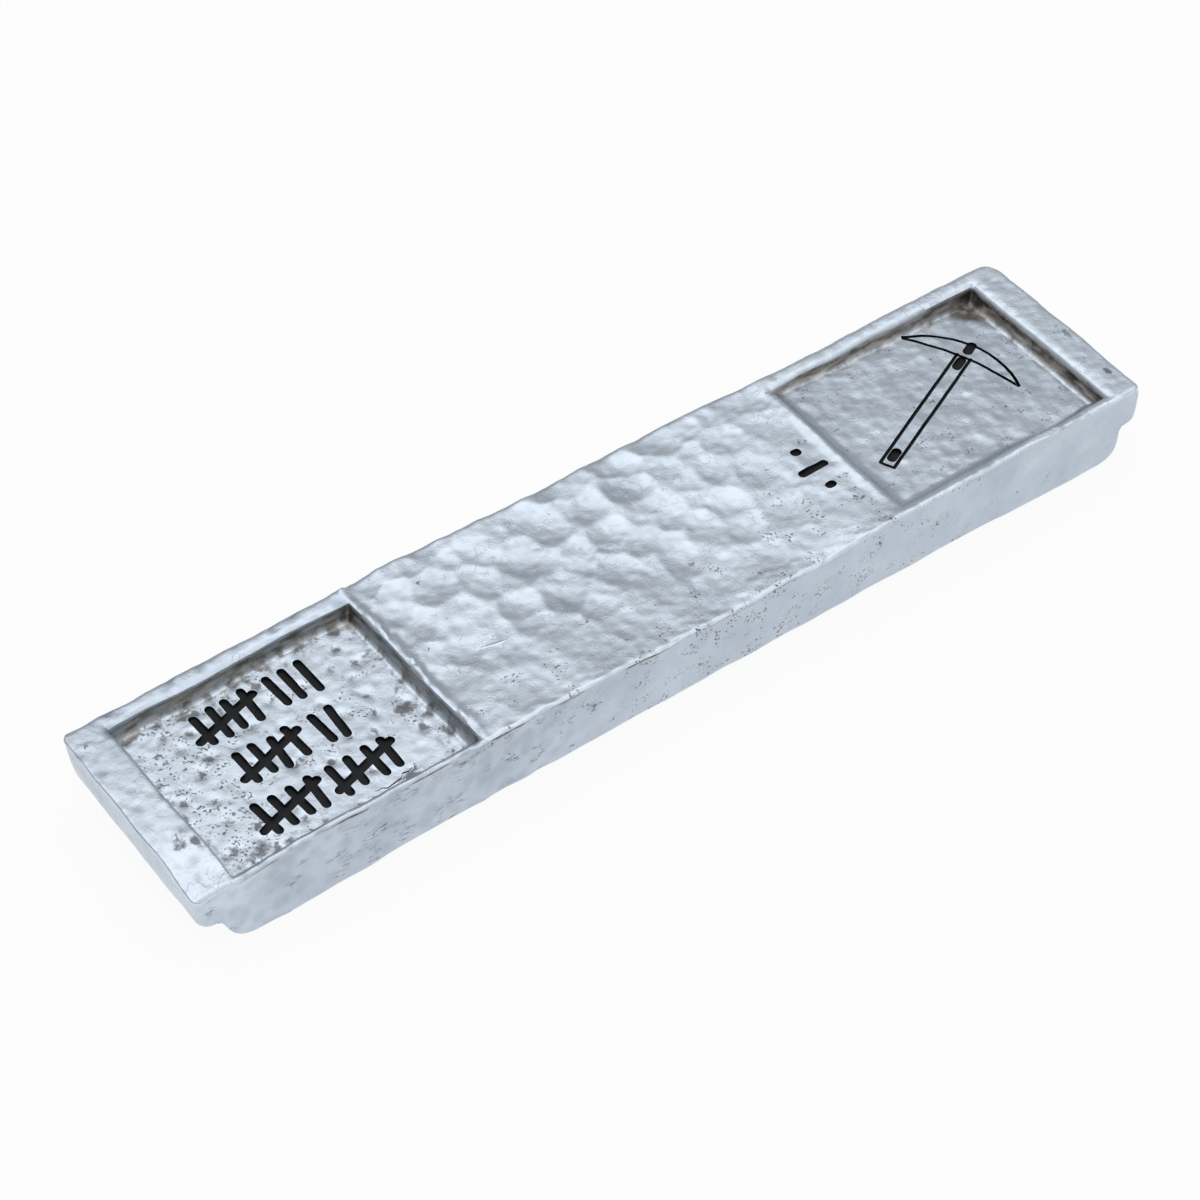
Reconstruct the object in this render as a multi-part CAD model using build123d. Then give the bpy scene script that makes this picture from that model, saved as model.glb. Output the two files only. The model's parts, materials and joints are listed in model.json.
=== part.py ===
from build123d import *
import math
import os

# Cast tin ingot: a slim bar that lies on two flat feet, with a lug overhanging each end
# and two shallow panels sunk into its top, one towards each end.
# Millimetres. X runs along the bar, -Y is its front, Z is up from the floor.

# Bar
length = 100.0
width = 20.4
height = 8.0
side_edge_radius = 0.5
top_edge_radius = 0.3

# Lugs: the top of the bar reaches past its foot at both ends, further at the left
left_overhang = 2.7
right_overhang = 2.4
left_lug_thickness = 4.4
right_lug_thickness = 4.4
nose_share = 0.6  # of the overhang: rounding under the lug's tip
notch_share = 0.3  # of the overhang or the foot's height, if that is less: rounding under the lug
heel_share = 0.55  # of the foot's height: rounding from its end face to the floor
side_edge_limit_share = 0.8  # of the smaller lug rounding: most that the side edges may take

# Underside: two flat feet and a shallow relief between them
foot_length = 4.0
relief_ramp = 12.0
relief_rise = 0.5

# Sunk panels: walls that lean outwards with a rounded foot, and at the right a floor that rises inwards
left_panel_length = 23.3
right_panel_length = 24.1
left_panel_depth = 1.4
right_end_depth = 1.5
right_inner_depth = 0.8
wall_lean = 30.0  # degrees from upright
left_end_rim = 3.9
right_end_rim = 4.1
left_front_rim = 0.6
right_front_rim = 0.9
panel_back_rim = 1.7
panel_fillet_share = 0.3  # of the panel's least depth
cut_overrun = 0.5

LEFT = -1
RIGHT = 1


def foot_start(side, overhang, lug_thickness):
    """Where the flat foot at one end gives way to the relief, along the bar."""
    heel_radius = heel_share * (height - lug_thickness)
    return side * (length / 2 - overhang - heel_radius - foot_length)


def end_outline(side, overhang, lug_thickness):
    """One end seen from the front: flat foot, heel, corner under the lug, lug tip."""
    tip = side * length / 2
    foot_end = tip - side * overhang
    lug_base = height - lug_thickness
    start = foot_start(side, overhang, lug_thickness)
    corners = [(start, 0), (foot_end, 0), (foot_end, lug_base), (tip, lug_base), (tip, height)]
    notch_radius = notch_share * min(overhang, lug_base)
    radii = [heel_share * lug_base, notch_radius, nose_share * overhang]
    return FilletPolyline(*corners, radius=radii)


def ramp_outline(side, start):
    """The smooth rise from a foot to the relief, as two arcs that meet halfway."""
    foot = (start, 0)
    halfway = (start - side * relief_ramp / 2, relief_rise / 2)
    relief = (start - side * relief_ramp, relief_rise)
    return TangentArc(foot, halfway, tangent=(-side, 0)) + TangentArc(relief, halfway, tangent=(side, 0))


def bar_blank():
    """The whole bar before its panels: the front outline carried across the width."""
    left_start = foot_start(LEFT, left_overhang, left_lug_thickness)
    right_start = foot_start(RIGHT, right_overhang, right_lug_thickness)
    outline = end_outline(LEFT, left_overhang, left_lug_thickness)
    outline += end_outline(RIGHT, right_overhang, right_lug_thickness)
    outline += ramp_outline(LEFT, left_start) + ramp_outline(RIGHT, right_start)
    outline += Line((-length / 2, height), (length / 2, height))
    outline += Line((left_start + relief_ramp, relief_rise), (right_start - relief_ramp, relief_rise))
    blank = extrude(Plane.XZ * make_face(outline), amount=width / 2, both=True)

    smaller_nose = nose_share * min(left_overhang, right_overhang)
    side_radius = min(side_edge_radius, side_edge_limit_share * smaller_nose)
    sides = blank.faces().filter_by(Axis.Y)
    lower_edges = [edge for face in sides for edge in face.edges().sort_by(Axis.Z)[:-1]]
    blank = fillet(lower_edges, side_radius)
    top_edges = blank.faces().sort_by(Axis.Z)[-1].edges()
    return fillet(top_edges, top_edge_radius)


def panel_cutter(side, panel_length, end_rim, front_rim, end_depth, inner_depth):
    """The space of one sunk panel: walls that open upwards from a floor that may slope along the bar."""
    panel_width = width - front_rim - panel_back_rim
    centre_x = side * (length / 2 - end_rim - panel_length / 2)
    centre_y = (front_rim - panel_back_rim) / 2
    run_above = cut_overrun * math.tan(math.radians(wall_lean))
    mouth = Rectangle(panel_length + 2 * run_above, panel_width + 2 * run_above)
    mouth = Pos(centre_x, centre_y, height + cut_overrun) * mouth
    full_depth = 2 * cut_overrun + max(end_depth, inner_depth)
    space = extrude(mouth, amount=-full_depth, taper=wall_lean)

    slope = side * (end_depth - inner_depth) / panel_length
    middle_depth = (end_depth + inner_depth) / 2
    floor = Plane((centre_x, centre_y, height - middle_depth), z_dir=(slope, 0, 1))
    space = split(space, bisect_by=floor, keep=Keep.TOP)
    floor_edges = space.faces().sort_by(Axis.Z)[0].edges()
    return fillet(floor_edges, panel_fillet_share * min(end_depth, inner_depth))


ingot = bar_blank()
ingot -= panel_cutter(
    LEFT, left_panel_length, left_end_rim, left_front_rim, left_panel_depth, left_panel_depth)
ingot -= panel_cutter(
    RIGHT, right_panel_length, right_end_rim, right_front_rim, right_end_depth, right_inner_depth)

os.makedirs("parts", exist_ok=True)
export_step(ingot, "parts/ingot.step")
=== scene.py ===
import json
import math
import bpy
import numpy as np
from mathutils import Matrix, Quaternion, Vector
from mathutils.bvhtree import BVHTree

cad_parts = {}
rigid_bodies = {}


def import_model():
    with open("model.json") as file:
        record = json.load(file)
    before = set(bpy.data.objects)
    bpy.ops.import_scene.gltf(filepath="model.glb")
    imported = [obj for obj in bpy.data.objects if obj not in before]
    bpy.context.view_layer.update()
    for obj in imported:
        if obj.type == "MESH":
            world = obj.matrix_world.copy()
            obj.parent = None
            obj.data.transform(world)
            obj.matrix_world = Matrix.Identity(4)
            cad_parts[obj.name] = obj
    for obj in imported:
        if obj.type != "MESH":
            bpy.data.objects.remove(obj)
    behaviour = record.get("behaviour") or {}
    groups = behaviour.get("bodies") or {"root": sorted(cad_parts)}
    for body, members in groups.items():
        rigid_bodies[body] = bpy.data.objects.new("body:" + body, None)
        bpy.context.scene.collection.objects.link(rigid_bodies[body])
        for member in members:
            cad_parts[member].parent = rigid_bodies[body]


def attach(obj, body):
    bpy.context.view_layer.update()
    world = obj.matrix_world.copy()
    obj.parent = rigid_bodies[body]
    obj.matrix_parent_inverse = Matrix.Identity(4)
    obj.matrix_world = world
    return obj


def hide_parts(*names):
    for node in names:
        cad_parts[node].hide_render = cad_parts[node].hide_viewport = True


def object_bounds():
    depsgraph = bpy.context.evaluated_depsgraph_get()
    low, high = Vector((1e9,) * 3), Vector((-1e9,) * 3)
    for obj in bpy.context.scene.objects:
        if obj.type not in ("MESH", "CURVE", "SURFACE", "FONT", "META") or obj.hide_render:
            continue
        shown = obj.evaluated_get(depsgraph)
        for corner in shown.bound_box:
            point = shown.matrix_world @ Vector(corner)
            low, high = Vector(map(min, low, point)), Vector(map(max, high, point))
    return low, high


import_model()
cad_low, cad_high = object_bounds()

# Cast bar
# The ingot is one bar of tin, poured into an open mould and knocked out when it was cold.
# The lug over each end, the two feet and both sunk panels belong to the one casting, so it is one mesh.

half_length = (cad_high.x - cad_low.x) / 2
half_width = (cad_high.y - cad_low.y) / 2
top = cad_high.z
LEFT = -1
RIGHT = 1

# Ends, seen from the front: a foot with a rounded heel, and a lug that overhangs it
overhang = {LEFT: 0.0025, RIGHT: 0.0024}
lug_thickness = {LEFT: 0.0047, RIGHT: 0.0044}
nose_radius = {LEFT: 0.0019, RIGHT: 0.0013}
tip_lean = {LEFT: 0.0, RIGHT: 0.0006}
tip_undercut = {LEFT: 0.0004, RIGHT: 0.0}
foot_lean = {LEFT: 0.0016, RIGHT: 0.0}
heel_radius = {LEFT: 0.0022, RIGHT: 0.0023}
notch_radius = 0.0005
end_edge_radius = {LEFT: 0.00018, RIGHT: 0.0004}

# Long edges, and the corners of the plan
arris_width = 0.00038
arris_drop = 0.00014
arris_bend = 1.3  # power: above 1, the arris falls away faster towards its edge
back_edge_radius = 0.00035
lower_edge_radius = 0.0003
front_corner_radius = {LEFT: 0.0007, RIGHT: 0.0006}
back_corner_radius = {LEFT: 0.0010, RIGHT: 0.0018}
low_corner_reach = {LEFT: 0.0032, RIGHT: 0.0018}
low_corner_depth = {LEFT: 0.0014, RIGHT: 0.0018}
corner_reach = 0.004
end_skew = {LEFT: 0.00045, RIGHT: 0.00022}
low_skew = {LEFT: 0.0003, RIGHT: 0.0}
skew_start = {LEFT: -half_width, RIGHT: 0.003}

# Underside
foot_length = 0.004
relief_ramp = 0.012
relief_rise = 0.0005

# Sunk panels
panel_length = {LEFT: 0.0233, RIGHT: 0.0241}
end_rim = {LEFT: 0.0039, RIGHT: 0.0041}
front_rim = {LEFT: 0.0006, RIGHT: 0.0009}
back_rim = 0.0017
panel_depths = {LEFT: (0.0014, 0.0014), RIGHT: (0.0015, 0.0006)}  # at the end wall and at the inner wall
wall_run = 0.0010
wall_run_shares = {LEFT: (0.4, 0.7, 0.6, 1.0), RIGHT: (1.0, 1.4, 1.2, 1.0)}  # end, inner, front and back
wall_bend = 2.1  # power: 1 is a straight wall, more is steep at the lip and hollow at the foot
corner_softness = 0.00006
lip_roll = 0.0009
lip_fall = 0.00013
lip_softness = {LEFT: 0.00003, RIGHT: 0.00004}

# Mesh spacing
plain_pitch = 0.00024
fine_pitch = 0.00012
end_row_count = 26
edge_line_count = 8
wall_margin = 0.0003
lip_margin = 0.0003
path_bend_count = 12
side_blend = 0.009
row_crowding = 1.4  # power: above 1, the rows of the long sides crowd towards the top
under_step = 6  # lines of the top for each line of the underside
burr_width = 0.0009


def fallen_away(inset, radius):
    """How far a rounded edge has dropped from the flat, at a distance in from the edge."""
    reach = np.clip(radius - inset, 0, radius)
    return radius - np.sqrt(radius**2 - reach**2)


def smooth_step(value, low, high):
    """0 below low, 1 above high and a smooth rise between them."""
    share = np.clip((value - low) / (high - low), 0, 1)
    return share * share * (3 - 2 * share)


def edge_lines(radius):
    """Distances in from a rounded edge, closer together towards the edge."""
    return radius * (1 - np.cos(np.linspace(0, math.pi / 2, edge_line_count)))


def ruled_lines(start, *stretches):
    """Mesh lines from start on: each stretch gives its end and the pitch of its lines."""
    lines = [start]
    for end, pitch in stretches:
        count = max(1, round((end - lines[-1]) / pitch))
        lines.extend(np.linspace(lines[-1], end, count + 1)[1:])
    return np.array(lines)


def foot_tip(side):
    """How far out from the middle the flat of one foot reaches."""
    return half_length - overhang[side] - foot_lean[side] - heel_radius[side]


def end_path(side):
    """Rows up one end, as distances out from the middle and heights, with how far each row faces up."""
    tip = half_length
    foot_end = tip - overhang[side]
    lug_base = top - lug_thickness[side]
    corners = np.array([
        (foot_tip(side), 0),
        (foot_end - foot_lean[side], 0),
        (foot_end, lug_base),
        (tip - tip_undercut[side], lug_base),
        (tip - tip_lean[side], top - end_edge_radius[side]),
    ])
    path = [corners[:1]]
    bend = np.linspace(0, 1, path_bend_count)[:, None]
    for number, radius in enumerate((heel_radius[side], notch_radius, nose_radius[side]), start=1):
        before, corner, after = corners[number - 1:number + 2]
        start = corner + radius * (before - corner) / np.linalg.norm(before - corner)
        end = corner + radius * (after - corner) / np.linalg.norm(after - corner)
        path.append((1 - bend)**2 * start + 2 * bend * (1 - bend) * corner + bend**2 * end)
    path = np.concatenate(path + [corners[-1:]])
    run = np.concatenate([[0], np.cumsum(np.linalg.norm(np.diff(path, axis=0), axis=1))])
    rows = np.linspace(0, run[-1], end_row_count)
    out = np.interp(rows, run, path[:, 0])
    up = np.interp(rows, run, path[:, 1])
    tangent = np.gradient(np.stack([out, up]), axis=1)
    tangent /= np.linalg.norm(tangent, axis=0)
    return out, up, -tangent[0]


def corner_inset(side, across, lowness=0.0):
    """How far round corners and a skewed end pull one end in; lowness is 1 at the lug's base."""
    low = np.clip(lowness, 0, 1)
    back_radius = back_corner_radius[side]
    back_reach = back_radius + low * (low_corner_reach[side] - back_radius)
    back_depth = back_radius + low * (low_corner_depth[side] - back_radius)
    back = fallen_away(half_width - np.abs(across), back_reach) * back_depth / back_reach
    front = fallen_away(half_width - np.abs(across), front_corner_radius[side])
    skew = smooth_step(-side * across, skew_start[side], half_width) * (end_skew[side] + low_skew[side] * low)
    return np.where(across < 0, front, back) + skew


def underside(along):
    """Height of the bottom: flat feet, and a shallow relief between them."""
    height = np.ones_like(along)
    for side in (LEFT, RIGHT):
        foot_start = foot_tip(side) - foot_length
        height *= smooth_step(-side * along, -foot_start, relief_ramp - foot_start)
    return relief_rise * height


def panel_walls(along, across, side):
    """Distances in from the lip of one panel's end, inner, front and back walls, as if all leaned alike."""
    out = half_length - end_rim[side] - side * along
    back = half_width - back_rim - across
    front = across + half_width - front_rim[side]
    distances = (out, panel_length[side] - out, front, back)
    return [distance / share for distance, share in zip(distances, wall_run_shares[side])]


def panel_inset(along, across, side):
    """Distance in from the lip of one panel, less than zero outside it."""
    near = np.stack(panel_walls(along, across, side))
    nearest = near.min(axis=0)
    return nearest - corner_softness * np.log(np.exp((nearest - near) / corner_softness).sum(axis=0))


def panel_sink(along, across):
    """Depth of the panels below the top: rolled lips, and walls that curve out into a floor."""
    depth = np.zeros_like(along)
    for side in (LEFT, RIGHT):
        inset = panel_inset(along, across, side)
        end_depth, inner_depth = panel_depths[side]
        from_end = half_length - end_rim[side] - side * along
        floor_share = np.clip(from_end / panel_length[side], 0, 1)
        floor = end_depth + (inner_depth - end_depth) * floor_share
        roll = lip_fall * np.clip(1 + inset / lip_roll, 0, 1)**2
        below_lip = lip_softness[side] * np.logaddexp(0, inset / lip_softness[side])
        depth += roll + (floor - lip_fall) * (1 - np.clip(1 - below_lip / wall_run, 0, 1)**wall_bend)
    return depth


lip = {side: side * (half_length - end_rim[side]) for side in (LEFT, RIGHT)}
inner_lip = {side: lip[side] - side * panel_length[side] for side in (LEFT, RIGHT)}
wall_zone = wall_run + wall_margin
left_top = tip_lean[LEFT] - half_length
right_top = half_length - tip_lean[RIGHT]
along_lines = np.concatenate([
    left_top + edge_lines(end_edge_radius[LEFT])[:-1],
    ruled_lines(
        left_top + end_edge_radius[LEFT],
        (lip[LEFT] - lip_margin, plain_pitch),
        (lip[LEFT] + wall_zone, fine_pitch),
        (inner_lip[LEFT] - wall_zone, plain_pitch),
        (inner_lip[LEFT] + burr_width, fine_pitch),
        (inner_lip[RIGHT], plain_pitch),
        (inner_lip[RIGHT] + wall_zone, fine_pitch),
        (lip[RIGHT] - wall_zone, plain_pitch),
        (lip[RIGHT] + lip_margin, fine_pitch),
        (right_top - end_edge_radius[RIGHT], plain_pitch),
    ),
    right_top - edge_lines(end_edge_radius[RIGHT])[-2::-1],
])
front_edge_zone = min(front_rim.values())
across_lines = np.concatenate([
    edge_lines(front_edge_zone)[:-1] - half_width,
    ruled_lines(
        front_edge_zone - half_width,
        (max(front_rim.values()) - half_width, fine_pitch),
        (max(front_rim.values()) + wall_zone - half_width, fine_pitch),
        (half_width - back_rim - wall_zone, plain_pitch),
        (half_width - back_rim, fine_pitch),
    ),
    half_width - edge_lines(back_rim)[-2::-1],
])

# The lattice of the bar's skin: one number for each point on its six sides
skin = np.zeros((len(along_lines), len(across_lines), end_row_count), bool)
skin[[0, -1]] = True
skin[:, [0, -1]] = True
skin[:, :, [0, -1]] = True
edge_count = edge_line_count + 1
under_lines = np.arange(len(across_lines))
middle_lines = under_lines[edge_count:-edge_count]
under_lines = np.delete(under_lines, middle_lines[middle_lines % under_step > 0])
skin[1:-1, :, 0] = False
skin[1:-1, under_lines, 0] = True
numbers = np.full(skin.shape, -1)
numbers[skin] = np.arange(skin.sum())
points = np.zeros((skin.sum(), 3))

# Underside and top
along, across = np.meshgrid(along_lines, across_lines, indexing="ij")
foot_ends = [side * foot_tip(side) for side in (LEFT, RIGHT)]
bottom_along = np.interp(along, [left_top, right_top], foot_ends)
side_inset = half_width - np.abs(across)
bottom_level = underside(bottom_along) + fallen_away(side_inset, lower_edge_radius)
under = numbers[:, :, 0]
points[under[under >= 0]] = np.stack([bottom_along, across, bottom_level], axis=-1)[under >= 0]

top_along = along.copy()
for side, end in ((LEFT, left_top), (RIGHT, right_top)):
    reach = np.clip(1 - np.abs(end - along) / corner_reach, 0, 1)
    top_along -= side * reach * corner_inset(side, across)
end_fall = fallen_away(along - left_top, end_edge_radius[LEFT])
end_fall += fallen_away(right_top - along, end_edge_radius[RIGHT])
arris_fall = arris_drop * np.clip(1 - side_inset / arris_width, 0, None)**arris_bend
side_fall = np.where(across < 0, arris_fall, fallen_away(side_inset, back_edge_radius))
top_level = top - np.hypot(end_fall, side_fall) - panel_sink(along, across)
points[numbers[:, :, -1]] = np.stack([top_along, across, top_level], axis=-1)

# Ends
for side, end in ((LEFT, 0), (RIGHT, -1)):
    out, up, facing_up = end_path(side)
    lowness = (top - up) / lug_thickness[side]
    reach = np.clip((out - half_length) / overhang[side] + 1, 0, 1)
    inset = corner_inset(side, across_lines[:, None], lowness) * reach
    rise = fallen_away(half_width - np.abs(across_lines), lower_edge_radius)[:, None]
    rise = rise * np.clip(-facing_up, 0, 1)**2
    end_points = np.broadcast_arrays(side * (out - inset), across_lines[:, None], up + rise)
    points[numbers[end, :, 1:-1]] = np.stack(end_points, axis=-1)[:, 1:-1]

# Front and back: straight columns, eased into the outline of each end
for line in (0, -1):
    low = points[numbers[:, line, 0]][:, None]
    high = points[numbers[:, line, -1]][:, None]
    share = 1 - np.linspace(1, 0, end_row_count)[None, :, None]**row_crowding
    columns = low + share * (high - low)
    eased = columns.copy()
    for end in (0, -1):
        gap = np.abs(along_lines - along_lines[end])[:, None, None]
        hold = 1 - smooth_step(gap, 0, side_blend)
        eased += hold * (points[numbers[end, line]] - columns[end])
    points[numbers[1:-1, line, 1:-1]] = eased[1:-1, 1:-1]


def skin_quads(grid, turned):
    """Four-sided faces over one side of the lattice."""
    quads = np.stack([grid[:-1, :-1], grid[1:, :-1], grid[1:, 1:], grid[:-1, 1:]], axis=-1).reshape(-1, 4)
    return quads[:, ::-1].tolist() if turned else quads.tolist()


def under_ends():
    """Faces at both ends of the underside, where all lines of the end face come in."""
    faces = []
    for first, last in zip(under_lines[:-1], under_lines[1:]):
        for end, inner, turn in ((0, 1, 1), (-1, -2, -1)):
            face = under[end, first:last + 1].tolist() + under[inner, [last, first]].tolist()
            faces.append(face[::turn])
    return faces


faces = skin_quads(numbers[:, :, -1], False)
faces += skin_quads(under[1:-1, under_lines], True) + under_ends()
faces += skin_quads(numbers[:, 0], False) + skin_quads(numbers[:, -1], True)
faces += skin_quads(numbers[-1], False) + skin_quads(numbers[0], True)

# Hammer marks: overlapping round dents, deep on the plateau and lighter on rims, panel floors and sides
hand_seed = 11
dent_scatter_share = 0.3  # of the pitch
dent_reach_shares = (0.42, 0.85)  # of the pitch: from a dent's middle to its edge
dent_radius_shares = (0.8, 1.4)  # of the hammer's face radius
dent_follow_share = 0.6  # of the metal's own level: where the next blow starts from
unbeaten_percentile = 98  # of all levels: the height that the metal had before the blows
plateau_pitch = 0.0026
plateau_face_radius = 0.0105
plateau_softness = 0.000009
plateau_sag = 0.00022
floor_pitch = 0.0019
floor_face_radius = 0.0120
floor_force_shares = {LEFT: 0.35, RIGHT: 0.8}  # of the full depth
rim_pitch = 0.0021
rim_face_radius = 0.0110
rim_force_shares = {LEFT: 0.3, RIGHT: 0.25}
dimple_pitch = 0.0023
dimple_radius_shares = (0.28, 0.42)  # of the pitch
dimple_kept_share = 0.75
floor_dimple_depth = 0.00008
rim_dimple_depth = 0.00005
light_softness = 0.000014
side_pitch = 0.0012
side_face_radius = 0.009
plateau_fade = 0.0012
front_calm_share = 0.35  # of the full depth: dents along the front of the plateau
calm_front = -0.008
calm_back = 0.001
right_calm_share = 0.45
right_calm_start = 0.004
side_dents_end = -0.02
side_dents_fade = 0.02
side_calm_share = 0.25
edge_reach = 0.0014
hand = np.random.default_rng(hand_seed)


def hammer_blows(along, across, pitch):
    """Places of the blows that cover a surface, about a pitch apart and in no order."""
    rows = np.arange(across.min(), across.max() + pitch, pitch * math.sqrt(3) / 2)
    columns = np.arange(along.min(), along.max() + pitch, pitch)
    blows = np.array([(column + (number % 2) * pitch / 2, row)
                      for number, row in enumerate(rows) for column in columns])
    blows += hand.normal(scale=dent_scatter_share * pitch, size=blows.shape)
    return hand.permutation(blows)


def dimpled(along, across, pitch):
    """Separate round dimples: 1 in the middle of each and 0 between them."""
    blows = hammer_blows(along, across, pitch)
    depth = np.zeros_like(along)
    for x, y in blows[:round(dimple_kept_share * len(blows))]:
        radius = pitch * hand.uniform(*dimple_radius_shares)
        away = np.hypot(along - x, across - y) / radius
        depth = np.maximum(depth, np.clip(1 - away**2, 0, 1)**2)
    return depth


def dented(along, across, pitch, face_radius, softness):
    """Level of a surface beaten all over with a round-faced hammer, one blow after another."""
    level = np.zeros_like(along)
    for x, y in hammer_blows(along, across, pitch):
        reach = pitch * hand.uniform(*dent_reach_shares)
        radius = face_radius * hand.uniform(*dent_radius_shares)
        away = np.hypot(along - x, across - y)
        near = away < 2 * reach
        if near.any():
            edge = dent_follow_share * level[near].mean()
            dish = edge + (away[near]**2 - reach**2) / (2 * radius)
            level[near] = -softness * np.logaddexp(-level[near] / softness, -dish / softness)
    return level - np.percentile(level, unbeaten_percentile)


def fading(distance, reach):
    """1 at no distance, and hardly anything beyond reach."""
    return np.exp(-(distance / reach)**2)


rest = points.copy()
along, across, height = rest.T
plan = rest[:, :2]
elevation = rest[:, ::2]
on_top = np.zeros(len(points), bool)
on_top[numbers[:, :, -1].ravel()] = True
top_hold = np.where(on_top, 1, fading(top - height, edge_reach))
front_hold = fading(across + half_width, edge_reach)
back_hold = fading(half_width - across, edge_reach)
end_hold = fading(half_length - np.abs(along), edge_reach)
plateau_hold = smooth_step(along, inner_lip[LEFT], inner_lip[LEFT] + plateau_fade)
plateau_hold *= 1 - smooth_step(along, inner_lip[RIGHT] - plateau_fade, inner_lip[RIGHT])
plateau_force = front_calm_share + (1 - front_calm_share) * smooth_step(across, calm_front, calm_back)
plateau_force *= 1 - right_calm_share * smooth_step(along, right_calm_start, inner_lip[RIGHT])
floor_dents = dented(along, across, floor_pitch, floor_face_radius, light_softness)
rim_dents = dented(along, across, rim_pitch, rim_face_radius, light_softness)

plateau_dents = dented(along, across, plateau_pitch, plateau_face_radius, plateau_softness)
dents = plateau_hold * plateau_force * plateau_dents
floor_hold = {side: smooth_step(panel_inset(along, across, side), 0, wall_run) for side in (LEFT, RIGHT)}
rim_hold = {side: (1 - plateau_hold) * (1 - floor_hold[side]) * (side * along > 0) for side in (LEFT, RIGHT)}
for side in (LEFT, RIGHT):
    dents += floor_hold[side] * floor_force_shares[side] * floor_dents
    dents += rim_hold[side] * rim_force_shares[side] * rim_dents
points[:, 2] += top_hold * dents
dimples = on_top * dimpled(along, across, dimple_pitch)
points[:, 2] -= dimples * (floor_dimple_depth * floor_hold[LEFT] + rim_dimple_depth * rim_hold[LEFT])
points[:, 2] -= on_top * plateau_hold * plateau_sag * (1 - (across / half_width)**2)

side_dents = dented(along, height, side_pitch, side_face_radius, light_softness)
side_calm = smooth_step(along, side_dents_end, side_dents_end + side_dents_fade)
side_dents *= 1 - (1 - side_calm_share) * side_calm
points[:, 1] -= front_hold * side_dents
points[:, 1] += back_hold * side_dents

# Unevenness of the casting: wavy edges and walls, a ragged front arris, a worn corner, a bowed back
wave_count = 14
wave_spread_shares = (0.7, 1.5)  # of the wavelength
long_swell = 0.013
wall_swell = 0.009
short_swell = 0.0042
fine_swell = 0.0012
long_swell_height = 0.00005
back_wall_swell_height = 0.00012
end_wall_swell_height = 0.00004
side_swell_height = 0.00003
fine_swell_height = 0.000009
ragged_swell = 0.0024
ragged_height = 0.00002
arris_overhang = 0.00006
arris_shade_drop = 0.0002
front_dip = 0.0006
front_dip_place = 0.005
front_dip_length = 0.013
front_dip_width = 0.012
worn_corner_drop = 0.0007
worn_corner_length = 0.006
worn_corner_width = 0.0042
beaded_swell = 0.0008
beaded_height = 0.000012
burr_height = 0.0001
burr_swell = 0.0009
burr_fade_power = 0.3
bow_depth = 0.00042
bow_places = (-0.0165, 0.009, 0.04, -0.047, 0.027)
bow_reaches = (0.0075, 0.01, 0.007, 0.01, 0.006)
bow_shares = (0.95, 0.75, 0.2, -0.75, -0.4)  # of the bow's depth: below zero, the back lies further in


def wavering(places, wavelength):
    """A smooth random swell over places, about one unit high, of about that wavelength."""
    swell = 0
    for _ in range(wave_count):
        heading = hand.normal(size=places.shape[-1])
        heading /= np.linalg.norm(heading) * wavelength * hand.uniform(*wave_spread_shares)
        swell = swell + np.sin(2 * math.pi * (places @ heading + hand.uniform()))
    return swell / math.sqrt(wave_count / 2)


inner_hold = top_hold * (1 - front_hold) * (1 - back_hold) * (1 - end_hold)
points[:, 0] += inner_hold * end_wall_swell_height * wavering(plan, wall_swell)
points[:, 1] += inner_hold * back_wall_swell_height * wavering(plan, wall_swell)
points[:, 0] -= np.sign(along) * end_hold * side_swell_height * (wavering(rest[:, 1:], short_swell) + 1)
points[:, 1] += front_hold * side_swell_height * (wavering(elevation, short_swell) + 1)
points[:, 1] -= back_hold * side_swell_height * (wavering(elevation, short_swell) + 1)
points[:, 2] += top_hold * fine_swell_height * wavering(plan, fine_swell)

arris_line = long_swell_height * wavering(rest[:, :1], long_swell)
points[:, 2] += top_hold * front_hold * arris_line
dip = fading(along - front_dip_place, front_dip_length) * fading(across + half_width, front_dip_width)
points[:, 2] -= front_dip * top_hold * dip
at_arris = fading(across + half_width, arris_width)
points[:, 2] += on_top * at_arris * ragged_height * wavering(plan, ragged_swell)
at_left_edge = fading(along + half_length, arris_width)
points[:, 2] -= on_top * at_left_edge * beaded_height * (wavering(plan, beaded_swell) + 1)
points[:, 1] += front_hold * arris_overhang * (1 - fading(top - height, arris_shade_drop))
worn = fading(along + half_length, worn_corner_length) * fading(across + half_width, worn_corner_width)
points[:, 2] -= top_hold * (1 - floor_hold[LEFT]) * worn_corner_drop * worn

bow = 1 - sum(share * fading(along - place, reach)
              for place, reach, share in zip(bow_places, bow_reaches, bow_shares))
points[:, 1] -= fading(half_width - across, corner_reach) * bow_depth * bow
burr = on_top * plateau_hold**burr_fade_power * fading(along - inner_lip[LEFT], burr_width)
burr *= smooth_step(wavering(plan, short_swell), -1, 1) * (1 - front_hold)
points[:, 2] += burr * burr_height * (1 + wavering(plan, burr_swell))
points = np.clip(points, cad_low, cad_high)

mesh = bpy.data.meshes.new("ingot_casting")
mesh.from_pydata(points.tolist(), [], faces)
ingot = bpy.data.objects.new("ingot_casting", mesh)
bpy.context.scene.collection.objects.link(ingot)

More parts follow.
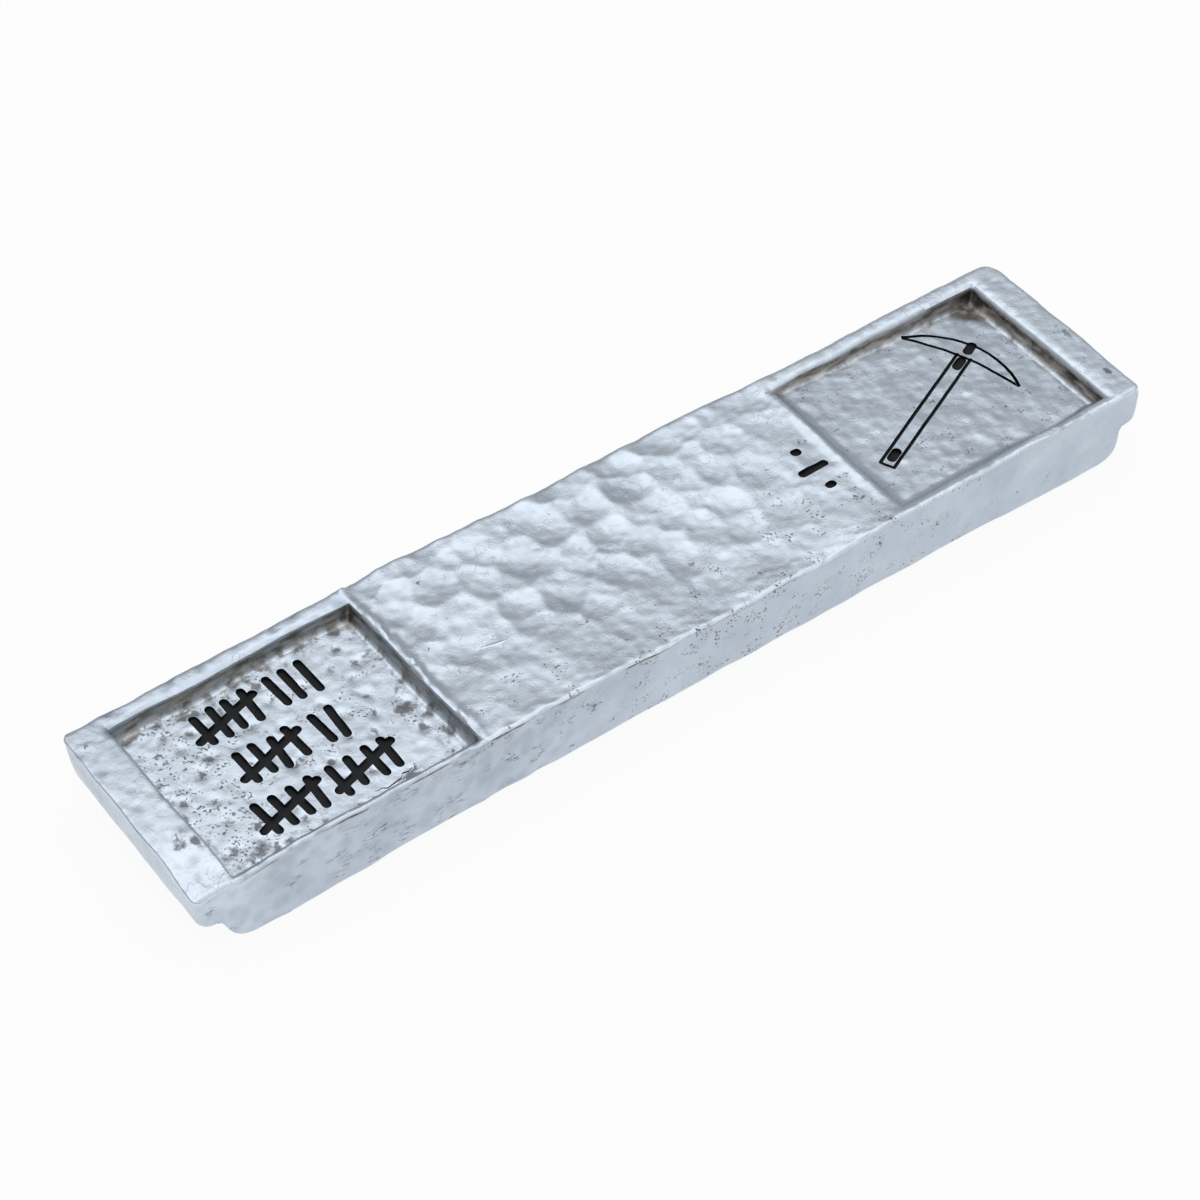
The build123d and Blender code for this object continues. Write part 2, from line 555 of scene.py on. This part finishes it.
# Where the bare metal has changed, and where shade is painted: painted shade with grime on the panel walls
# and in their back corners, a painted shadow line under the arris, soil in hollows, greyer sides
left_wall_shares = (0.4, 0.75, 0.4, 0.75)  # of full painted shade and grime under the lip: end, inner, front and back walls
right_wall_shares = (1.2, 0.2, 0.4, 0.85)
foot_shares = (0.25, 0.25, 0.25, 0.55)  # of the painted shade and grime under the lip that is left at the wall's foot
shade_and_grime_start = {LEFT: 0.0001, RIGHT: 0.00018}
shade_and_grime_end = 0.0004
arris_line_share = 1.2
arris_line_drop = 0.00026
arris_line_width = 0.00018
soil_near_wall = 0.0018
dark_corner = {LEFT: 0.0021, RIGHT: 0.0040}
dark_corner_share = 1.15
plateau_soil_share = 0.3
floor_soil_shares = {LEFT: 0.65, RIGHT: 0.3}
wall_soil_shares = {LEFT: 0.9, RIGHT: 0.35}
rim_soil_share = 0.1
side_soil_share = 0.3
plateau_pit_share = 0.7
side_pit_share = 0.75
side_pit_place = 0.006
side_pit_reach = 0.026
side_dash_share = 0.65
side_dash_place = -0.03
side_dash_reach = 0.02
floor_pit_shares = {LEFT: 0.45, RIGHT: 0.35}
pit_patch_share = 0.6
pit_patch_place = -0.0432
pit_patch_reach = 0.004
side_tone_share = 0.55
hollow_depth = 0.00022
side_hollow_percentiles = (70, 97)  # of the side's dents by depth: from the first that show to the darkest
side_hollow_share = 0.3
hollow_tone_share = 0.33
dimple_tone_share = 0.7
rim_tone_share = 0.2
dimple_soil_share = 1.5
burr_tone_share = 0.4
left_smudges = (
    (-0.0481, -0.0049), (-0.0467, -0.0054), (-0.0255, -0.0027), (-0.0428, -0.0078), (-0.0484, 0.0078))
left_smudge_reaches = (
    (0.0009, 0.0007), (0.0004, 0.0014), (0.0006, 0.0009), (0.0007, 0.0005), (0.0002, 0.0005))
right_smudges = ((0.0484, -0.0013), (0.0481, -0.0072), (0.0443, 0.0069))
right_smudge_reaches = ((0.0005, 0.0012), (0.0004, 0.0007), (0.0016, 0.0013))
floor_smudge_share = 1.5
rim_smudge_share = 2.4
smudge_pit_share = 1.2

shade_and_grime = np.zeros(len(points))
soil = np.where(on_top, plateau_hold * plateau_soil_share * (1 - plateau_force), side_soil_share)
for side, wall_shares in ((LEFT, left_wall_shares), (RIGHT, right_wall_shares)):
    inset = panel_inset(along, across, side)
    inside = smooth_step(inset, 0, shade_and_grime_start[side])
    walls = panel_walls(along, across, side)
    # Painted shade with grime: each wall is darkened most just under its lip and less towards its foot
    for wall, share, foot_share in zip(walls, wall_shares, foot_shares):
        darkening = 1 - (1 - foot_share) * smooth_step(wall, 0, wall_run)
        darkening *= fading(np.clip(wall - wall_run, 0, None), shade_and_grime_end)
        shade_and_grime = np.maximum(shade_and_grime, on_top * inside * share * darkening)
    soil += on_top * (inside * floor_soil_shares[side] + rim_hold[side] * rim_soil_share)
    near_wall = fading(np.clip(inset - wall_run, 0, None), soil_near_wall)
    soil += on_top * inside * wall_soil_shares[side] * near_wall
    end_wall, inner_wall, _, back_wall = walls
    # Painted shade: each panel's back corner, at the inner end on the left and the outer end on the right, is
    # darkened over wall and floor
    from_corner = np.hypot(inner_wall if side == LEFT else end_wall, back_wall)
    corner_shade = dark_corner_share * fading(from_corner**2, dark_corner[side]**2)
    shade_and_grime = np.maximum(shade_and_grime, on_top * inside * corner_shade)
# Painted shadow: a thin dark line just under the front arris, in broken stretches along the left half of the
# front
arris_shadow = front_hold * fading(top - height - arris_line_drop, arris_line_width) * ~on_top
arris_shadow *= 1 - smooth_step(along, 0, inner_lip[RIGHT])
shade_and_grime += arris_line_share * arris_shadow * smooth_step(wavering(rest[:, :1], wall_swell), -1, 1)
hollow = np.clip(-dents / hollow_depth, 0, 1)
on_side = ~on_top * np.maximum(front_hold, back_hold)
side_hollow_depths = np.percentile(-side_dents[~on_top], side_hollow_percentiles)
side_hollow = on_side * smooth_step(-side_dents, *side_hollow_depths)
tone = np.where(on_top, hollow_tone_share * hollow, side_tone_share + side_hollow_share * side_hollow)
soil += dimples * dimple_soil_share * floor_hold[LEFT]
tone += on_top * rim_hold[LEFT] * (rim_tone_share + dimple_tone_share * dimples)
smudged = np.zeros(len(points))
smudges = zip(left_smudges + right_smudges, left_smudge_reaches + right_smudge_reaches)
for (x, y), (reach, width) in smudges:
    smudged += on_top * fading(along - x, reach) * fading(across - y, width)
on_rim = np.maximum(rim_hold[LEFT], rim_hold[RIGHT])
soil += smudged * (floor_smudge_share * (1 - on_rim) + rim_smudge_share * on_rim)
tone -= burr_tone_share * (burr + worn)
crust = burr + worn
pitted = on_top * plateau_hold * plateau_pit_share * (1 - plateau_force) + smudge_pit_share * smudged
pitted += on_top * sum(floor_pit_shares[side] * floor_hold[side] for side in (LEFT, RIGHT))
pitted += on_top * pit_patch_share * floor_hold[LEFT] * fading(along - pit_patch_place, pit_patch_reach)
pitted += ~on_top * side_pit_share * fading(along - side_pit_place, side_pit_reach)
dashed = on_side * side_dash_share * fading(along - side_dash_place, side_dash_reach)
notes = {"shade_and_grime": shade_and_grime, "soil": soil, "tone": tone, "pitted": pitted, "dashed": dashed, "crust": crust}
for name, values in notes.items():
    mesh.attributes.new(name, "FLOAT", "POINT").data.foreach_set("value", values.astype(np.float32))

# Bare tin: a cool satin metal with a fine cast grain, small dark pits and smudges
tin_pale = (0.63, 0.708, 0.80, 1)
tin_grey = (0.395, 0.457, 0.535, 1)
soil_grey = (0.115, 0.108, 0.11, 1)
wall_brown = (0.16, 0.15, 0.135, 1)
wall_grey = (0.47, 0.455, 0.43, 1)
foot_black = (0.07, 0.066, 0.062, 1)
cloud_size = 0.005
cloud_detail = 3.0
middle_noise = 0.5
tone_range = (-0.2, 1.1)
stain_size = 0.0011
stain_detail = 5.0
soil_share = 0.16  # of a noise's whole range, for full soil
smudge_range = (0.72, 0.92)
smudge_most_share = 0.8
streak_length = 0.0022
streak_height = 0.0003
streak_detail = 3.0
streak_range = (0.35, 0.7)
darkened_range = (0.15, 0.85)
black_range = (0.85, 1.25)
grain_size = 0.0005
grain_depth = 0.000024
grain_detail = 4.0
coarse_roughness = 0.6  # of the noise: how strong its finest detail is
crust_range = (0.1, 0.7)
crust_grain = (1.0, 2.5)
scratch_height_share = 0.5  # of the grain's depth
pit_depth_share = 0.6
dull_range = (0.3, 0.75)
metal_roughness = (0.22, 0.36)
dirt_roughness = 0.18
speck_size = 0.00026
speck_cluster = 0.0016
speck_detail = 1.0
speck_range = (0.58, 0.65)
crowd_range = (0.66, 0.78)
crowd_share = 0.25
speck_most_share = 0.8
dash_length = 0.0011
dash_height = 0.0001
scratch_length = 0.0016
scratch_patch = 0.0022
scratch_detail = 3.0
scratch_range = (0.0, 0.0003)
scratch_patch_range = (0.5, 0.62)


def shader_node(tree, kind, sockets, **settings):
    """A node with its settings and sockets filled in: a socket takes a value or another node's output."""
    node = tree.nodes.new(kind)
    for name, value in settings.items():
        setattr(node, name, value)
    for socket, value in sockets.items():
        if isinstance(value, bpy.types.NodeSocket):
            tree.links.new(value, node.inputs[socket])
        else:
            node.inputs[socket].default_value = value
    return node


def mottling(tree, place, size, detail=2.0, roughness=0.5):
    """Noise whose patches are about that size, from 0 to 1."""
    sockets = {"Vector": place, "Scale": 1 / size, "Detail": detail, "Roughness": roughness}
    return shader_node(tree, "ShaderNodeTexNoise", sockets).outputs["Fac"]


def stretched(tree, value, low, high, start=0.0, end=1.0):
    """The value's range from low to high, stretched smoothly to run from start to end."""
    sockets = {"Value": value, "From Min": low, "From Max": high, "To Min": start, "To Max": end}
    node = shader_node(tree, "ShaderNodeMapRange", sockets, interpolation_type="SMOOTHSTEP")
    return node.outputs["Result"]


def blended(tree, share, first, second):
    """A colour between two others."""
    sockets = {"Factor": share, 6: first, 7: second}
    return shader_node(tree, "ShaderNodeMix", sockets, data_type="RGBA").outputs[2]


def combined(tree, operation, first, second):
    """Two values put together by one sum."""
    return shader_node(tree, "ShaderNodeMath", {0: first, 1: second}, operation=operation).outputs["Value"]


def noted(tree, name):
    """A value that the mesh carries at its points."""
    return shader_node(tree, "ShaderNodeAttribute", {}, attribute_name=name).outputs["Fac"]


def drawn_out(tree, place, length, height):
    """The place with lengths and heights counted in those units, for marks that run along the bar."""
    scale = (1 / length, 1 / length, 1 / height)
    return shader_node(tree, "ShaderNodeMapping", {"Vector": place, "Scale": scale}).outputs["Vector"]


def specks(tree, place):
    """Small dark pits and dashes in loose clusters: 1 in a pit, 0 on sound metal."""
    cluster = mottling(tree, place, speck_cluster)
    found = 0.0
    dashes = drawn_out(tree, place, dash_length, dash_height)
    for note, grid, size in (("pitted", place, speck_size), ("dashed", dashes, 1.0)):
        pits = stretched(tree, mottling(tree, grid, size, speck_detail), *speck_range)
        crowd = combined(tree, "ADD", cluster, combined(tree, "MULTIPLY", noted(tree, note), crowd_share))
        crowded_pits = combined(tree, "MULTIPLY", pits, stretched(tree, crowd, *crowd_range))
        found = combined(tree, "MAXIMUM", found, crowded_pits)
    return found


def scratches(tree, place):
    """Fine scratches that wander over the metal in patches: 1 along a scratch, 0 beside it."""
    drift = combined(tree, "SUBTRACT", mottling(tree, place, scratch_length, scratch_detail), middle_noise)
    line = stretched(tree, combined(tree, "MULTIPLY", drift, drift), *scratch_range, 1.0, 0.0)
    patch = stretched(tree, mottling(tree, place, scratch_patch), *scratch_patch_range)
    return combined(tree, "MULTIPLY", line, patch)


def bare_tin():
    """The bar's own metal, with its soil and pits, and painted shade with grime on the panel walls, in their
    back corners and under the front arris.
    """
    material = bpy.data.materials.new("bare_tin")
    material.use_nodes = True
    tree = material.node_tree
    shader = tree.nodes["Principled BSDF"]
    place = tree.nodes.new("ShaderNodeTexCoord").outputs["Object"]

    cloud = combined(tree, "SUBTRACT", mottling(tree, place, cloud_size, cloud_detail), middle_noise)
    greyness = combined(tree, "ADD", noted(tree, "tone"), cloud)
    metal = blended(tree, stretched(tree, greyness, *tone_range), tin_pale, tin_grey)

    stain = mottling(tree, place, stain_size, stain_detail, coarse_roughness)
    soiled = combined(tree, "ADD", stain, combined(tree, "MULTIPLY", noted(tree, "soil"), soil_share))
    smudge = stretched(tree, soiled, *smudge_range, 0.0, smudge_most_share)
    pits = specks(tree, place)
    dirt = combined(tree, "MAXIMUM", smudge, combined(tree, "MULTIPLY", pits, speck_most_share))
    metal = blended(tree, dirt, metal, soil_grey)

    # Painted shade with grime: streaked brown-grey walls under the panel lips, going black in the back
    # corners and in the line under the front arris
    streak = mottling(tree, drawn_out(tree, place, streak_length, streak_height), 1.0, streak_detail)
    wall = blended(tree, stretched(tree, streak, *streak_range), wall_brown, wall_grey)
    darkness = combined(tree, "ADD", noted(tree, "shade_and_grime"), combined(tree, "SUBTRACT", stain, middle_noise))
    darkened = stretched(tree, darkness, *darkened_range)
    darkening = blended(tree, stretched(tree, darkness, *black_range), wall, foot_black)
    tree.links.new(blended(tree, darkened, metal, darkening), shader.inputs["Base Color"])

    shader.inputs["Metallic"].default_value = 1.0
    dull = stretched(tree, stain, *dull_range, *metal_roughness)
    dirty = combined(tree, "MULTIPLY", combined(tree, "MAXIMUM", dirt, darkened), dirt_roughness)
    rough = combined(tree, "ADD", dull, dirty)
    tree.links.new(rough, shader.inputs["Roughness"])

    grain = mottling(tree, place, grain_size, grain_detail, coarse_roughness)
    crusty = stretched(tree, noted(tree, "crust"), *crust_range, *crust_grain)
    cast = combined(tree, "MULTIPLY", grain, crusty)
    scored = combined(tree, "MULTIPLY", scratches(tree, place), scratch_height_share)
    marred = combined(tree, "ADD", cast, scored)
    relief = combined(tree, "SUBTRACT", marred, combined(tree, "MULTIPLY", pits, pit_depth_share))
    bump = shader_node(tree, "ShaderNodeBump", {"Height": relief, "Distance": grain_depth})
    tree.links.new(bump.outputs["Normal"], shader.inputs["Normal"])
    return material


mesh.materials.append(bare_tin())
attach(ingot, "root")
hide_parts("ingot")

# Cut marks
# Short grooves are cut by hand into the panel floors and the top, and filled with black paint.
# They are rows of tallies, the outline of a pick and a bar between two dots, all in the casting itself.

groove_depth = 0.0003
cutter_rise = 0.0006
round_end_count = 7
paint_black = (0.006, 0.007, 0.009, 1)
paint_dusty = (0.02, 0.021, 0.024, 1)
paint_gloss = 0.2
paint_roughness = (0.45, 0.7)
dust_detail = 4.0
dust_range = (0.4, 0.75)


def black_paint():
    """The dull paint in the grooves, with some dust on it."""
    material = bpy.data.materials.new("black_paint")
    material.use_nodes = True
    tree = material.node_tree
    shader = tree.nodes["Principled BSDF"]
    shader.inputs["Specular IOR Level"].default_value = paint_gloss
    place = tree.nodes.new("ShaderNodeTexCoord").outputs["Object"]
    dust = stretched(tree, mottling(tree, place, stain_size, dust_detail), *dust_range)
    tree.links.new(blended(tree, dust, paint_black, paint_dusty), shader.inputs["Base Color"])
    tree.links.new(stretched(tree, dust, 0.0, 1.0, *paint_roughness), shader.inputs["Roughness"])
    grain = mottling(tree, place, grain_size)
    bump = shader_node(tree, "ShaderNodeBump", {"Height": grain, "Distance": grain_depth})
    tree.links.new(bump.outputs["Normal"], shader.inputs["Normal"])
    return material


paint = black_paint()
surface = BVHTree.FromPolygons(points.tolist(), faces)
cutters = bpy.data.collections.new("cutters")


def groove_cutter(outline, depths, finish):
    """A cutter that stands on the outline and reaches below the metal by a depth at each corner."""
    count = len(outline)
    starts = [Vector((x, y, top + cutter_rise)) for x, y in outline]
    levels = [surface.ray_cast(start, Vector((0, 0, -1)))[0].z for start in starts]
    low = [(x, y, level - depth) for (x, y), level, depth in zip(outline, levels, depths)]
    high = [(x, y, level + cutter_rise) for (x, y), level in zip(outline, levels)]
    sides = [(n, (n + 1) % count, count + (n + 1) % count, count + n) for n in range(count)]
    faces = [tuple(range(count))[::-1], tuple(range(count, 2 * count))] + sides
    cutter_mesh = bpy.data.meshes.new("groove_cutter")
    cutter_mesh.from_pydata(low + high, [], faces)
    cutter_mesh.materials.append(finish)
    cutters.objects.link(bpy.data.objects.new("groove_cutter", cutter_mesh))


def painted_groove(outline):
    """A groove of even depth, filled with paint."""
    groove_cutter(outline, [groove_depth] * len(outline), paint)


def stroke(start, end, breadth):
    """A straight groove with rounded ends."""
    start = np.array(start)
    end = np.array(end)
    heading = math.atan2(*(end - start)[::-1])
    turns = np.linspace(-math.pi / 2, math.pi / 2, round_end_count) + heading
    cap = breadth / 2 * np.stack([np.cos(turns), np.sin(turns)], axis=1)
    painted_groove(np.concatenate([end + cap, start - cap]).tolist())


# Tallies in the left panel: groups of upright strokes, the last of five across the four before it
tally_height = 0.0029
tally_breadth = 0.0008
tally_gap = 0.00155
group_gap = 0.0024
gate_count = 4
gate_rise_share = 1 / 3  # of a stroke's height, up and down from its middle
tally_sway = 0.0001
tally_middles = (0.0045, -0.0006, -0.0057)
tally_starts = (-0.0395, -0.0388, -0.0405)
tally_counts = ((5, 3), (5, 2), (5, 5))

for left, middle, counts in zip(tally_starts, tally_middles, tally_counts):
    for count in counts:
        first = left
        for _ in range(min(count, gate_count)):
            sway = hand.normal(scale=tally_sway, size=4)
            foot = (left + sway[0], middle - tally_height / 2 + sway[1])
            head = (left + sway[2], middle + tally_height / 2 + sway[3])
            stroke(foot, head, tally_breadth)
            last = left
            left += tally_gap
        if count > gate_count:
            rise = gate_rise_share * tally_height
            low_end = (first - tally_breadth, middle - rise)
            high_end = (last + tally_breadth, middle + rise)
            stroke(low_end, high_end, tally_breadth)
        left += group_gap - tally_gap

# Pick in the right panel, drawn in fine lines: a long handle, a bowed head and three solid wedges
line_breadth = 0.00032
pick_middle = np.array([0.0336, -0.0003])
pick_turn = math.radians(24)
handle_start = -0.0098
handle_end = 0.0068
handle_breadth = 0.0013
head_crown = 0.0086
head_bows = ((0.0075, math.radians(50)), (0.0216, math.radians(15.4)))
head_crown_gap = 0.0019
bow_point_count = 15
wedge_places = (-0.0088, 0.0052, 0.0076)
wedge_length = 0.001
wedge_breadth = 0.0009


def on_pick(forward, aside):
    """A place on the panel, from how far it lies along the pick and to its side."""
    turn = np.array([[math.cos(pick_turn), -math.sin(pick_turn)], [math.sin(pick_turn), math.cos(pick_turn)]])
    return pick_middle + turn @ np.array([forward, aside])


def bowed_stroke(crown, radius, half_angle):
    """A groove along an arc of the pick's head, which bends back from the crown to both points."""
    turns = np.linspace(-half_angle, half_angle, bow_point_count)
    rim = [on_pick(crown - radius + reach * math.cos(turn), reach * math.sin(turn))
           for reach, path in ((radius + line_breadth / 2, turns), (radius - line_breadth / 2, turns[::-1]))
           for turn in path]
    painted_groove([tuple(place) for place in rim])


for aside in (-handle_breadth / 2, handle_breadth / 2):
    stroke(on_pick(handle_start, aside), on_pick(handle_end, aside), line_breadth)
handle_corners = [on_pick(handle_start, aside) for aside in (-handle_breadth / 2, handle_breadth / 2)]
stroke(*handle_corners, line_breadth)
for number, (radius, half_angle) in enumerate(head_bows):
    bowed_stroke(head_crown - number * head_crown_gap, radius, half_angle)
for place in wedge_places:
    stroke(on_pick(place, 0), on_pick(place + wedge_length, 0), wedge_breadth)

# Bar between two dots on the plateau
punch_along = 0.0188
punch_middle = -0.0013
punch_pitch = 0.0023
punch_breadth = 0.0008
bar_length = 0.0024
dot_length = 0.0003
for number, length in ((-1, dot_length), (0, bar_length), (1, dot_length)):
    place = punch_middle + number * punch_pitch
    stroke((punch_along - length / 2, place), (punch_along + length / 2, place), punch_breadth)

# Scratches in the bare metal of the plateau, each a sliver that is deepest at its front
scratch_depth = 0.00013
scratch_breadth = 0.00042
deep_scratches = (((-0.0175, -0.0014), (-0.0140, -0.0023)), ((-0.0203, 0.0012), (-0.0194, 0.0008)))
for start, end in deep_scratches:
    deepest = ((start[0] + end[0]) / 2, (start[1] + end[1]) / 2 - scratch_breadth)
    groove_cutter([start, deepest, end], [0, scratch_depth, 0], mesh.materials[0])

# Lap in the cast skin along the front of the left panel's floor, black inside
lap_breadth = 0.00014
lap_sway = 0.00012
lap_side_shares = np.array([0.5, 1])  # of its breadth: how far it opens along the bar and across
lap_point_count = 15
lap_turns = ((-0.0327, -0.0083), (-0.0308, -0.0085), (-0.0286, -0.0082), (-0.0277, -0.0073))
steps = np.linspace(0, len(lap_turns) - 1, lap_point_count)
lap_path = np.stack([np.interp(steps, range(len(lap_turns)), line) for line in zip(*lap_turns)], axis=1)
lap_path += hand.normal(scale=lap_sway, size=lap_path.shape)
lap_breadths = lap_breadth * np.sin(np.linspace(0, math.pi, lap_point_count))[1:-1, None]
lap_sides = lap_path[1:-1] + lap_breadths * lap_side_shares
painted_groove(np.concatenate([lap_path, lap_sides[::-1]]).tolist())

cut = ingot.modifiers.new("cut_marks", "BOOLEAN")
cut.operation = "DIFFERENCE"
cut.solver = "MANIFOLD"
cut.operand_type = "COLLECTION"
cut.collection = cutters
cut.material_mode = "TRANSFER"
marked = bpy.data.meshes.new_from_object(ingot.evaluated_get(bpy.context.evaluated_depsgraph_get()))
ingot.modifiers.remove(cut)
ingot.data = marked
for cutter in list(cutters.objects):
    bpy.data.objects.remove(cutter)
bpy.data.collections.remove(cutters)

crease_angle = math.radians(38)
marked.shade_smooth()
marked.set_sharp_from_angle(angle=crease_angle)

# Studio
# A plain white floor under one broad soft lamp, with a pale sky that is brightest high up behind the bar.
# The camera stands where the photograph was taken from.

camera_place = Vector((-0.14077, -0.15084, 0.21872))
camera_aim = Vector((-0.00584, -0.00318, 0.00788))
floor_reach = 2.0
floor_white = (0.95, 0.95, 0.95, 1)
floor_glow_share = 0.92
sky_white = (1, 1, 1, 1)
sky_rise_range = (0.55, 1.09)  # sines of the height above the horizon
sky_side_range = (0.1, 0.35)  # of the way over to the side behind the bar
sky_low = 0.44
sky_high = 2.25
sky_behind = 1.4
sky_before = 0.85
lamp_place = Vector((-0.25, 0.0, 0.75))
lamp_length = 0.5
lamp_watts = 0.5

floor_mesh = bpy.data.meshes.new("floor")
floor_corners = [(x * floor_reach, y * floor_reach, 0) for x, y in ((-1, -1), (1, -1), (1, 1), (-1, 1))]
floor_mesh.from_pydata(floor_corners, [], [(0, 1, 2, 3)])
floor = bpy.data.objects.new("floor", floor_mesh)
bpy.context.scene.collection.objects.link(floor)


def seen_directly(tree):
    """1 for what the camera sees, straight or in metal, and 0 for light that falls on the object."""
    path = tree.nodes.new("ShaderNodeLightPath").outputs
    seen = combined(tree, "MAXIMUM", path["Is Camera Ray"], path["Is Glossy Ray"])
    return combined(tree, "MAXIMUM", seen, path["Is Transmission Ray"])


def white_floor():
    """A white floor that looks white from anywhere and still takes the bar's shadow."""
    material = bpy.data.materials.new("white_floor")
    material.use_nodes = True
    tree = material.node_tree
    tree.nodes.clear()
    matt = shader_node(tree, "ShaderNodeBsdfDiffuse", {"Color": floor_white})
    glow = shader_node(tree, "ShaderNodeEmission", {"Strength": 1.0})
    share = combined(tree, "MULTIPLY", seen_directly(tree), floor_glow_share)
    mixed = shader_node(tree, "ShaderNodeMixShader", {0: share, 1: matt.outputs[0], 2: glow.outputs[0]})
    shader_node(tree, "ShaderNodeOutputMaterial", {"Surface": mixed.outputs[0]})
    return material


floor_mesh.materials.append(white_floor())

world = bpy.data.worlds.new("pale_sky")
bpy.context.scene.world = world
world.use_nodes = True
sky = world.node_tree
sky.nodes.clear()
heading = sky.nodes.new("ShaderNodeTexCoord").outputs["Generated"]
rise = shader_node(sky, "ShaderNodeSeparateXYZ", {"Vector": heading}).outputs["Z"]
behind = (camera_aim - camera_place).xy.normalized().to_3d()
facing = shader_node(sky, "ShaderNodeVectorMath", {0: heading, 1: behind}, operation="DOT_PRODUCT")
most = stretched(sky, facing.outputs["Value"], *sky_side_range, sky_before, sky_behind)
dome = combined(sky, "MINIMUM", stretched(sky, rise, *sky_rise_range, sky_low, sky_high), most)
camera_only = sky.nodes.new("ShaderNodeLightPath").outputs["Is Camera Ray"]
strength = combined(sky, "MAXIMUM", dome, camera_only)
backdrop = shader_node(sky, "ShaderNodeBackground", {"Color": sky_white, "Strength": strength})
shader_node(sky, "ShaderNodeOutputWorld", {"Surface": backdrop.outputs["Background"]})

lamp_data = bpy.data.lights.new("soft_lamp", "AREA")
lamp_data.size = lamp_length
lamp_data.energy = lamp_watts
lamp = bpy.data.objects.new("soft_lamp", lamp_data)
lamp.location = lamp_place
lamp.rotation_euler = (-lamp_place).to_track_quat("-Z", "Y").to_euler()
bpy.context.scene.collection.objects.link(lamp)

camera_roll = math.radians(5.64)
camera_lens = 107.14
camera_data = bpy.data.cameras.new("photo_camera")
camera_data.lens = camera_lens
camera = bpy.data.objects.new("photo_camera", camera_data)
camera.location = camera_place
level_view = (camera_aim - camera_place).to_track_quat("-Z", "Y")
camera.rotation_euler = (level_view @ Quaternion((0, 0, 1), camera_roll)).to_euler()
bpy.context.scene.collection.objects.link(camera)
bpy.context.scene.camera = camera
bpy.context.scene.view_settings.view_transform = "Standard"
